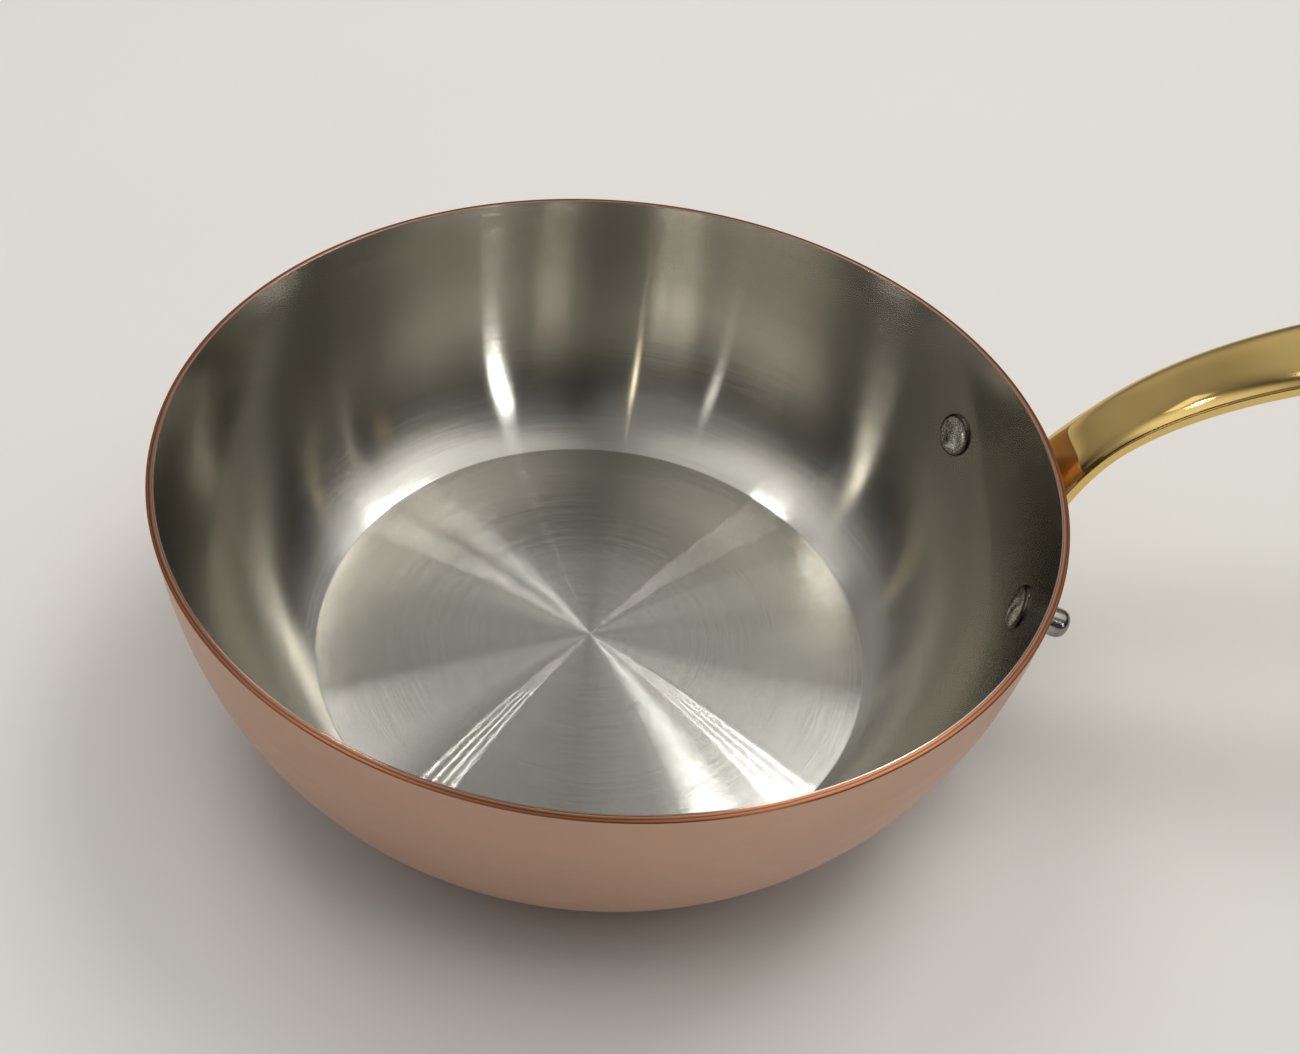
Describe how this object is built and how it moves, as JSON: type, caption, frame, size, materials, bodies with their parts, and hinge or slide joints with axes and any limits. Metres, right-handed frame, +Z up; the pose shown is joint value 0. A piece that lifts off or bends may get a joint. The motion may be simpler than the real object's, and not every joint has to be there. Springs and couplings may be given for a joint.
{
  "type": "chefs pan",
  "caption": "Deep round copper pan with walls that curve up from a flat base, a bonded steel lining and a long cast handle riveted to the side, for sauces and sauteing.",
  "frame": {"origin": "middle of the flat base, on the surface that the pan stands on", "axes": "+Z up along the pan's axis, +X along the handle, away from the pan"},
  "size_m": [0.4371, 0.24, 0.1493],
  "materials": {
    "copper": null,
    "lining_steel": "spun stainless steel, brushed in circles",
    "gold_brass": "polished gold-coloured brass",
    "rivet_steel": "bright stainless steel with hammer marks"
  },
  "bodies": {
    "root": {"copper_body": "copper", "steel_lining": "lining_steel", "handle": "gold_brass", "rivet_left": "rivet_steel", "rivet_right": "rivet_steel"}
  },
  "joints": []
}
